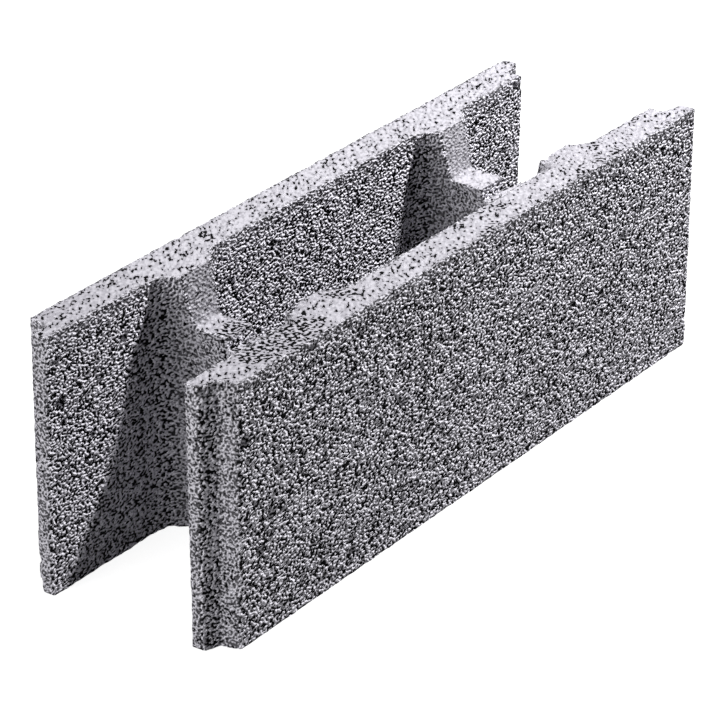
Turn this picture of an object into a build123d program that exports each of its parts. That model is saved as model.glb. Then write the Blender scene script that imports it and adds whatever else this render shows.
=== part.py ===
"""Hollow concrete formwork block, laid dry in courses and filled with poured concrete.

Two long face walls are tied by two cross webs, all cast in one piece. X runs along
the wall, Y across it and Z up. The origin is on the floor, under the middle of the
block's overall length and width.
"""

from build123d import *
import os

# The block in its course
course_length = 500.0  # from one block's shoulder to the next block's shoulder
block_width = 150.0
block_height = 170.0

# Face walls, thickest at the top, where the next course is laid
wall_top = 26.0
wall_foot = 23.5

# Tongues at the -X end, one on the inner side of each wall
tongue_reach = 16.0
tongue_root = 13.5  # thickness where it leaves the shoulder
tongue_tip = 9.5
tongue_corner = 4.0  # on the outer side
tongue_inner_corner = 1.8
tongue_toe = 5.0  # radius at the foot of the tip, so that the block rides into its neighbour

# Grooves at the +X end, which take the next block's tongues
groove_end_gap = 1.0
groove_side_gap = 1.5
nose_corner = 3.5

# Cross webs, thickest at the top like the walls
web_spacing = 272.0  # between the middles of the two webs
web_shift = 5.0  # the pair stands this far towards the grooves
web_top = 28.0
web_foot = 18.0
cell_corner = 20.0  # plan radius where a web flares into a wall

# Saddles in the webs, which hold the reinforcing bars and let the concrete through
saddle_depth = 32.5
saddle_floor = 61.0  # width at the floor, before its corners are rounded
saddle_mouth = 77.0
saddle_corner = 4.0
notch_width = 13.0  # the notch in the middle of the saddle's floor, which centres a bar
notch_depth = 8.0

# Shoulders beside the tongues
shoulder_rise = 2.5  # how far the face leans out towards the tongue's root
shoulder_corner = 3.5

overall_length = course_length + tongue_reach
half_width = block_width / 2
half_cell = half_width - wall_top
tongue_end = -overall_length / 2
shoulder = tongue_end + tongue_reach
nose_end = overall_length / 2
groove_floor = nose_end - tongue_reach - groove_end_gap
tongue_web = web_shift - web_spacing / 2
groove_web = web_shift + web_spacing / 2
saddle_base = block_height - saddle_depth

with BuildPart() as formwork_block:
    # The plan of the whole block, with its tongues and grooves
    with BuildSketch() as plan:
        with BuildLine():
            Polyline(
                (groove_floor, 0),
                (groove_floor, half_cell + tongue_tip + groove_side_gap),
                (nose_end, half_cell + tongue_root + groove_side_gap),
                (nose_end, half_width),
                (shoulder, half_width),
                (shoulder - shoulder_rise, half_cell + tongue_root),
                (tongue_end, half_cell + tongue_tip),
                (tongue_end, 0),
            )
            mirror(about=Plane.XZ)
        make_face()
        fillet(plan.vertices().group_by(Axis.X)[-1], nose_corner)
        outer_vertices = plan.vertices().group_by(lambda vertex: abs(vertex.Y))[-1]
        fillet(outer_vertices.group_by(Axis.X)[0], shoulder_corner)
        fillet(plan.vertices().group_by(Axis.X)[0].sort_by(Axis.Y)[0::2], tongue_corner)
    extrude(amount=block_height)

    # The cells lie between webs and widen down to the bed. The end cells are open, and
    # run on to the webs of the next blocks in the course.
    webs = [groove_web - course_length, tongue_web, groove_web, tongue_web + course_length]
    for start, stop in zip(webs[:-1], webs[1:]):
        for level, wall, web in ((0, wall_foot, web_foot), (block_height, wall_top, web_top)):
            with BuildSketch(Plane.XY.offset(level)):
                with Locations(((start + stop) / 2, 0)):
                    RectangleRounded(stop - start - web, block_width - 2 * wall, cell_corner)
        loft(mode=Mode.SUBTRACT)

    # The inner corners of the tongues' tips, which only the cells have cut free
    tips = formwork_block.faces().group_by(Axis.X)[0]
    tip_edges = tips.edges().filter_by(lambda edge: edge.length > block_height / 2)
    fillet(tip_edges.group_by(lambda edge: abs(edge.center().Y))[0], tongue_inner_corner)

    # The tongues' toes
    with BuildSketch(Plane.XZ):
        with Locations((tongue_end, 0)):
            Rectangle(tongue_toe, tongue_toe, align=(Align.MIN, Align.MIN))
        with Locations((tongue_end + tongue_toe, tongue_toe)):
            Circle(tongue_toe, mode=Mode.SUBTRACT)
    extrude(amount=half_width, both=True, mode=Mode.SUBTRACT)

    # The saddles in the tops of the webs, each with its notch
    with BuildSketch(Plane.YZ) as saddle:
        with BuildLine():
            Polyline(
                (-saddle_mouth / 2, block_height),
                (-saddle_floor / 2, saddle_base),
                (saddle_floor / 2, saddle_base),
                (saddle_mouth / 2, block_height),
                close=True,
            )
        make_face()
        fillet(saddle.vertices().group_by(Axis.Y)[0], saddle_corner)
        with Locations((0, saddle_base)):
            Rectangle(notch_width, 2 * notch_depth)
    extrude(amount=overall_length / 2, both=True, mode=Mode.SUBTRACT)

formwork_block.part.label = "formwork_block"

os.makedirs("parts", exist_ok=True)
export_step(formwork_block.part, "parts/formwork_block.step")
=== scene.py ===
import math

import bmesh
import bpy
import numpy as np
from mathutils import Euler, Matrix, Vector, noise


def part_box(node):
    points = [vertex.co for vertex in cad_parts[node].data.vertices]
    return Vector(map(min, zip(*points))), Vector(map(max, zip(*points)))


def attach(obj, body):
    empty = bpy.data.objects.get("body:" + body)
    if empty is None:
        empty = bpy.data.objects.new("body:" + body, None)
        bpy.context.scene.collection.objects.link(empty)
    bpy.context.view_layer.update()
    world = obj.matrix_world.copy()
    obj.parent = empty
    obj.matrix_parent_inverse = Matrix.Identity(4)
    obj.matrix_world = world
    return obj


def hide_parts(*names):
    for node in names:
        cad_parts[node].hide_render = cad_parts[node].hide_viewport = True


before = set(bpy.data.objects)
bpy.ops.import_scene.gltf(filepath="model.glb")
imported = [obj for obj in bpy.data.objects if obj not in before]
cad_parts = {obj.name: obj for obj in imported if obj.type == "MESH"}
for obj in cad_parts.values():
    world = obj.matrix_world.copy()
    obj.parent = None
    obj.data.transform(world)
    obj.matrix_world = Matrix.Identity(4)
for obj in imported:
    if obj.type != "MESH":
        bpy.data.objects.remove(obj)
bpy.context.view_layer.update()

# The block, one piece of dry, open concrete. It is vibrated and pressed in a steel mould with its
# saddles upwards, stripped at once and left to cure, so its sides show every grain and gap, its
# struck tops are closed and pitted, and its arrises have crumbled a little.
mm = 0.001
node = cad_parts["formwork_block"]
foot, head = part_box("formwork_block")

# The skin, an even mesh of small facets over the whole cast form
surface_step = 2.22 * mm  # spacing of its points, which keeps it under the limit of triangles
octree_depth = 8  # a grid of 256 steps, of which the block's length fills 232
weld_gap = 0.001 * mm  # points nearer than this become one, so that the form is closed

block = bpy.data.objects.new("block_concrete", node.data.copy())
bpy.context.scene.collection.objects.link(block)
welded = bmesh.new()
welded.from_mesh(block.data)
bmesh.ops.remove_doubles(welded, verts=welded.verts, dist=weld_gap)
welded.to_mesh(block.data)
welded.free()
skin = block.modifiers.new("skin", "REMESH")
skin.mode = "SHARP"
skin.octree_depth = octree_depth
skin.scale = (head.x - foot.x) / (surface_step * 2 ** octree_depth)
skin.use_remove_disconnected = False
cast = bpy.data.meshes.new_from_object(block.evaluated_get(bpy.context.evaluated_depsgraph_get()))
block.modifiers.clear()
block.data = cast

count = len(cast.vertices)
points = np.empty(count * 3)
cast.vertices.foreach_get("co", points)
points = points.reshape(-1, 3)
outward = np.empty(count * 3)
cast.vertices.foreach_get("normal", outward)
outward = outward.reshape(-1, 3)
ends = np.empty(len(cast.edges) * 2, dtype=int)
cast.edges.foreach_get("vertices", ends)
ends = ends.reshape(-1, 2)
neighbours = np.bincount(ends.ravel(), minlength=count)[:, None]


def spread(values):
    """The mean of each point's neighbours."""
    total = np.zeros_like(values)
    np.add.at(total, ends[:, 0], values[ends[:, 1]])
    np.add.at(total, ends[:, 1], values[ends[:, 0]])
    return total / neighbours


def ramp(values, low, high):
    """A smooth step from 0 at low to 1 at high."""
    t = np.clip((values - low) / (high - low), 0, 1)
    return t * t * (3 - 2 * t)


def within(distance, full, none):
    """1 for distances up to full, and smoothly down to 0 at none."""
    return ramp(-distance, -none, -full)


def field(size, seed):
    """Smooth noise around 0 at every point, with bumps of about size, which may differ by axis."""
    shift = Vector((seed, 2.0 * seed, 3.0 * seed))
    return np.array([noise.noise(Vector(p) + shift) for p in points / np.array(size)])


# Arrises, rounded off a little, more in some stretches than in others
arris_passes = 2  # each pass rounds the arrises over about one more point
arris_wear = 0.45
arris_patch = 9.0 * mm  # length of a stretch
arris_swing = 0.6  # noise of minus this leaves a stretch sound, and of plus this rounds it most

rounded = points.copy()
for _ in range(arris_passes):
    rounded = spread(rounded)
bend = np.linalg.norm(rounded - points, axis=1)
crumbled = arris_wear * ramp(field(arris_patch, seed=1.7), -arris_swing, arris_swing)
worn = points + (rounded - points) * crumbled[:, None]

# Closed faces, with sizes in mm. The tamper struck the faces that look up quite smooth. The
# saddles and the upper rims closed in part. The faces that look out of the tongued end are given
# part of the closed tops' smoother relief and colour too, so they show less of the gaps' painted
# shade.
saddle_closed = 0.75  # against the level tops, which closed fully
rim_closed = 0.25
end_smoothed = 0.3
level_face = (0.7, 0.95)  # how far up a face looks, from not struck at all to fully struck
end_face = (0.6, 0.9)  # the same for faces that look out of the tongued end
rim_heights = (157, 168)
saddle_heights = (133, 137)
saddle_half_width = (38, 42)
web_spacing = 272  # between the middles of the two webs
web_shift = 5  # the pair stands this far towards the grooves
web_half_thickness = (12, 13.5)

along, across, above = (points / mm).T
saddle_box = ramp(above, *saddle_heights) * within(np.abs(across), *saddle_half_width)
from_web = np.abs(np.abs(along - web_shift) - web_spacing / 2)
saddle_box *= within(from_web, *web_half_thickness)
struck = np.maximum(ramp(outward[:, 2], *level_face), saddle_closed * saddle_box)
struck = np.maximum(struck, rim_closed * ramp(above, *rim_heights))
struck = np.maximum(struck, end_smoothed * ramp(-outward[:, 0], *end_face))

# Torn stretches of the closed faces, where the tamper dragged the mix open again. The near wall
# has them here and there, the far wall only towards its tongue, and the grooved end's saddle least.
torn_patches = [  # x, y, half length and half width in mm, where its edge has faded, and share torn
    (-183, -58, 38, 16, 1.3, 0.75),  # on the near wall, beside the tongued end's web
    (-131, 2, 24, 20, 1.2, 1.0),  # in that web's saddle
]
patch_core = 0.7  # where a patch's edge begins to fade, also as a share of its half sizes
pit_patch = 16.0 * mm  # length of the near wall's other stretches
patch_noise = (0.2, 0.6)  # from a whole stretch to a torn one
near_torn = 0.25  # how torn the near wall is in its whole stretches
far_torn = 0.4
wall_side = (0, 40)  # mm from the block's long middle plane to a wall
tongue_side = (130, 210)  # mm from the block's middle towards the tongues
groove_side = (0, 50)  # and towards the grooves
saddle_mended = 0.5  # how much less torn the grooved end's saddle is

torn = np.zeros(count)
for x, y, half_length, half_width, faded, share in torn_patches:
    reach = np.hypot((along - x) / half_length, (across - y) / half_width)
    torn += share * within(reach, patch_core, faded)
stretches = ramp(field(pit_patch, seed=21.9), *patch_noise)
torn += ramp(-across, *wall_side) * (near_torn + stretches)
torn += far_torn * ramp(across, *wall_side) * ramp(-along, *tongue_side)
torn = np.clip(torn, 0, 1) - saddle_mended * saddle_box * ramp(along, *groove_side)

# Single grains that stand proud of the gaps between them, larger voids that the mix left open, and
# holes and crumbled corners
grain_relief = 0.7 * mm
grain_pitch = (2.2 * mm, 2.0 * mm, 1.9 * mm)
grain_swing = 0.42  # noise from minus this to plus this goes from a grain's crown to a gap's bottom
grain_drift = 0.5  # most sideways scatter of the skin's points, as a share of their spacing
void_size = 9.0 * mm
void_depth = 2.0 * mm
void_noise = (0.5, 0.75)  # from a void's rim to its bottom
struck_relief = 0.12  # relief of the struck tops against that of the sides
arris_hold = 0.55  # how much shallower the relief is along the arrises, where fines gathered
arris_reach = 0.25 * mm  # how far the rounding moves a point where that holds in full
hollows = [  # x, y, z, radius and depth in mm
    (-246, 49, 123, 5, 2.5),  # holes in the far tongue and in the near face
    (-236, -75, 130, 5, 2.5),
    (-83, 48, 139, 4, 2),  # holes in the far side of the middle cell
    (-68, 48, 128, 4, 2),
    (-158, -46, 168, 8, 3.5),  # crumbled corners beside the tongued end's saddle
    (-142, -40, 168, 7, 3),
    (118, -44, 169, 9, 4),  # and beside the grooved end's
    (131, -41, 168, 6, 2.5),
]
hollow_core = 0.3  # share of a hollow's radius that has its full depth

sunk = grain_relief * ramp(field(grain_pitch, seed=5.3), -grain_swing, grain_swing)
sunk += void_depth * ramp(field(void_size, seed=9.1), *void_noise)
sunk *= 1 - (1 - struck_relief) * struck
sunk *= 1 - arris_hold * ramp(bend, 0, arris_reach)
for x, y, z, radius, depth in hollows:
    reach = np.linalg.norm(points / mm - (x, y, z), axis=1)
    sunk += depth * mm * within(reach, hollow_core * radius, radius)
worn -= outward * sunk[:, None]
drift = np.stack([field(grain_pitch, seed) for seed in (11.3, 13.9, 17.1)], 1)
drift -= outward * (drift * outward).sum(1)[:, None]
worn += drift * (grain_drift * surface_step)
worn = np.clip(worn, np.array(foot), np.array(head))

cast.vertices.foreach_set("co", worn.ravel())
for name, values in (("struck", struck), ("torn", torn)):
    mask = cast.attributes.new(name, "FLOAT", "POINT")
    mask.data.foreach_set("value", values.astype(np.float32))
cast.polygons.foreach_set("use_smooth", np.zeros(len(cast.polygons), dtype=bool))
cast.update()


def linear(hex_colour):
    """An sRGB hex colour as linear red, green, blue and alpha."""
    channels = [int(hex_colour[i:i + 2], 16) / 255 for i in (1, 3, 5)]
    return [c / 12.92 if c <= 0.04045 else ((c + 0.055) / 1.055) ** 2.4 for c in channels] + [1.0]


def add(tree, kind, settings=None, links=None, values=None):
    """Adds a node to tree. Settings are its properties, and links and values feed its sockets."""
    made = tree.nodes.new(kind)
    for name, value in (settings or {}).items():
        setattr(made, name, value)
    for socket, source in (links or {}).items():
        tree.links.new(source, made.inputs[socket])
    for socket, value in (values or {}).items():
        made.inputs[socket].default_value = value
    return made


# Open-textured cast concrete: fine crushed grains held by thin grey cement, with gaps between
# them. The gaps and pits are coloured near-black, which is painted shade in those hollows. The
# grains' crowns on the sides are coloured paler than the struck top, partly painted light from
# the raking lamp. There is no shine. Where the struck top closed the surface, only scattered pits
# are left. Each pattern's mean is 0.5, and low is a gap or a pit.
grain_size = 1.55 * mm  # half of the 3 mm from one grain's middle to the next one's
grain_stretch = 1.45  # grains lie along the block, as it was vibrated
grain_turn = (0.6, 0.4, 0.3)  # turns the pattern's own planes off the block's faces
side_shades = [  # the pattern's value and the colour there, from a gap's near-black painted shade to a grain's crown, paler than the top in part as painted light
    (0.415, "#020203"), (0.44, "#7D7C82"), (0.485, "#BEBCC4"), (0.62, "#E9E7EF"),
]
pit_size = 1.9 * mm  # about a pit's width
drag_angle = math.radians(35)  # from the block's length, the way the tamper drew the pits out
drag_stretch = 2.2
tear_size = 2.5 * mm  # about the width of a grain torn out
tear_shift = -0.12  # lowers the pattern where the top is torn, so that it has more pits
top_shades = [  # the same from a pit, near-black as painted shade, to the closed top
    (0.345, "#020203"), (0.36, "#2E2C30"), (0.385, "#9B99A0"), (0.49, "#A9A7AE"), (0.62, "#BEBCC3"),
]
pit_floor = (0.29, 0.40)  # the pattern at a pit's bottom, and the height drawn there
pit_rim = (0.38, 0.50)  # the same at its rim
relief_depth = 6.0 * mm  # height of the pattern's full range, of which grains take under half

concrete = bpy.data.materials.new("open_cast_concrete")
concrete.use_nodes = True
concrete.cycles.use_bump_map_correction = False  # steep grains keep their dark sides
tree = concrete.node_tree
tree.nodes.clear()
place = add(tree, "ShaderNodeTexCoord").outputs["Object"]
closed = add(tree, "ShaderNodeAttribute", {"attribute_name": "struck"}).outputs["Fac"]
torn_open = add(tree, "ShaderNodeAttribute", {"attribute_name": "torn"}).outputs["Fac"]
laid = add(
    tree, "ShaderNodeMapping", links={"Vector": place},
    values={"Scale": (1 / grain_stretch, 1, 1), "Rotation": grain_turn},
).outputs["Vector"]
grains = add(
    tree, "ShaderNodeTexNoise", {"normalize": True}, {"Vector": laid},
    {"Scale": 1 / grain_size, "Detail": 0.0},
).outputs["Fac"]
dragged = add(
    tree, "ShaderNodeMapping", {"vector_type": "TEXTURE"}, {"Vector": place},
    {"Rotation": (0, 0, drag_angle), "Scale": (drag_stretch, 1, 1)},
).outputs["Vector"]
fine_pits = add(
    tree, "ShaderNodeTexNoise", {"normalize": True}, {"Vector": dragged},
    {"Scale": 1 / pit_size, "Detail": 1.0, "Roughness": 0.4},
).outputs["Fac"]
tears = add(
    tree, "ShaderNodeTexNoise", {"normalize": True}, {"Vector": place},
    {"Scale": 1 / tear_size, "Detail": 0.5},
).outputs["Fac"]
pits_and_tears = add(
    tree, "ShaderNodeMix", {"data_type": "FLOAT"}, {"Factor": torn_open, "A": fine_pits, "B": tears},
).outputs["Result"]
pits = add(
    tree, "ShaderNodeMath", {"operation": "MULTIPLY_ADD"}, {0: torn_open, 2: pits_and_tears},
    {1: tear_shift},
).outputs["Value"]
shaded = []
# Colours by pattern. The near-black low ends are painted shade in the gaps and pits.
for pattern, shades in ((grains, side_shades), (pits, top_shades)):
    made = add(tree, "ShaderNodeValToRGB", links={"Fac": pattern})
    marks = made.color_ramp.elements
    while len(marks) < len(shades):
        marks.new(1.0)
    for mark, (level, hex_colour) in zip(marks, shades):
        mark.position = level
        mark.color = linear(hex_colour)
    shaded.append(made.outputs["Color"])
colour = add(  # inputs 6 and 7 and output 2 are this node's colours
    tree, "ShaderNodeMix", {"data_type": "RGBA"}, {"Factor": closed, 6: shaded[0], 7: shaded[1]},
).outputs[2]
pit_height = add(
    tree, "ShaderNodeMapRange", {"interpolation_type": "SMOOTHSTEP"}, {"Value": pits},
    {"From Min": pit_floor[0], "From Max": pit_rim[0], "To Min": pit_floor[1], "To Max": pit_rim[1]},
).outputs["Result"]
height = add(
    tree, "ShaderNodeMix", {"data_type": "FLOAT"}, {"Factor": closed, "A": grains, "B": pit_height},
).outputs["Result"]
relief = add(
    tree, "ShaderNodeBump", links={"Height": height},
    values={"Strength": 1.0, "Distance": relief_depth},
).outputs["Normal"]
dry_concrete = add(
    tree, "ShaderNodeBsdfPrincipled", links={"Base Color": colour, "Normal": relief},
    values={"Roughness": 0.92, "Specular IOR Level": 0.05},
).outputs["BSDF"]
add(tree, "ShaderNodeOutputMaterial", links={"Surface": dry_concrete})
cast.materials.clear()
cast.materials.append(concrete)

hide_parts("formwork_block")
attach(block, "root")

# The studio floor, a plain pale sweep of matt paper that the block stands on. Seen directly it
# is white, with the block's soft shadow on it. The block gets only the paper's own plain grey.
sweep_half = 4.0  # metres from the middle to its edge
paper_colour = linear("#959595")
paper_glow = 0.90  # with what the lamps add, this brings the paper up to white

sweep = bpy.data.meshes.new("studio_sweep")
corners = [(x * sweep_half, y * sweep_half, 0) for x, y in ((-1, -1), (1, -1), (1, 1), (-1, 1))]
sweep.from_pydata(corners, [], [(0, 1, 2, 3)])
floor = bpy.data.objects.new("studio_floor", sweep)
bpy.context.scene.collection.objects.link(floor)


def white_when_seen(tree, plain, white):
    """Shows white to a camera, glossy or transmission ray, and plain to all others."""
    ray = add(tree, "ShaderNodeLightPath").outputs
    seen = add(
        tree, "ShaderNodeMath", {"operation": "MAXIMUM"},
        {0: ray["Is Camera Ray"], 1: ray["Is Glossy Ray"]},
    ).outputs["Value"]
    seen_at_all = add(
        tree, "ShaderNodeMath", {"operation": "MAXIMUM"}, {0: seen, 1: ray["Is Transmission Ray"]},
    ).outputs["Value"]
    mix = add(tree, "ShaderNodeMixShader", links={0: seen_at_all, 1: plain, 2: white})
    return mix.outputs["Shader"]


paper = bpy.data.materials.new("matt_white_paper")
paper.use_nodes = True
tree = paper.node_tree
tree.nodes.clear()
matt = add(tree, "ShaderNodeBsdfDiffuse", values={"Color": paper_colour}).outputs["BSDF"]
glow = add(tree, "ShaderNodeEmission", values={"Strength": paper_glow}).outputs["Emission"]
lit_white = add(tree, "ShaderNodeAddShader", links={0: matt, 1: glow}).outputs["Shader"]
paper_surface = white_when_seen(tree, matt, lit_white)
add(tree, "ShaderNodeOutputMaterial", links={"Surface": paper_surface})
sweep.materials.append(paper)

# The light. A small lamp, high beyond the grooved end and a little to the near side, rakes along
# the walls and draws their grain. A large soft panel beyond the tongued end fills the faces that
# look that way. The white room is what is seen behind the block, and adds little light.
room_colour = (1, 1, 1, 1)
room_light = 0.035  # strength of the light that the room gives
room_white = 1.0  # and the strength at which it is seen
middle = (foot + head) / 2


def lamp(name, place, size, power):
    """A round lamp at place, aimed at the block's middle. The camera doesn't see it."""
    disc = bpy.data.lights.new(name, "AREA")
    disc.shape = "DISK"
    disc.size = size
    disc.energy = power
    made = bpy.data.objects.new(name, disc)
    made.location = place
    made.rotation_euler = (Vector(place) - middle).to_track_quat("Z", "Y").to_euler()
    made.visible_camera = False
    bpy.context.scene.collection.objects.link(made)


lamp("key", place=(0.717, -0.256, 1.290), size=0.10, power=30.5)
lamp("end_fill", place=(-1.9, 0.35, 0.9), size=1.0, power=32.0)

room = bpy.data.worlds.new("white_room")
bpy.context.scene.world = room
room.use_nodes = True
tree = room.node_tree
tree.nodes.clear()
dim, bright = [
    add(
        tree, "ShaderNodeBackground", values={"Color": room_colour, "Strength": strength},
    ).outputs["Background"]
    for strength in (room_light, room_white)
]
add(tree, "ShaderNodeOutputWorld", links={"Surface": white_when_seen(tree, dim, bright)})

# The camera, a long lens that looks at the tongued end from the left and above.
camera_place = (-1.72273, -1.19136, 1.08663)
camera_azimuth = math.radians(-55.107)
camera_elevation = math.radians(25.958)
camera_roll = math.radians(0.274)

lens = bpy.data.cameras.new("long_lens")
lens.sensor_width = 36.0
lens.lens = 185.74
camera = bpy.data.objects.new("camera", lens)
camera.location = camera_place
aim = Euler((math.pi / 2 - camera_elevation, 0, camera_azimuth)).to_matrix()
camera.rotation_euler = (aim @ Matrix.Rotation(camera_roll, 3, "Z")).to_euler()
bpy.context.scene.collection.objects.link(camera)
bpy.context.scene.camera = camera
bpy.context.scene.view_settings.view_transform = "Standard"
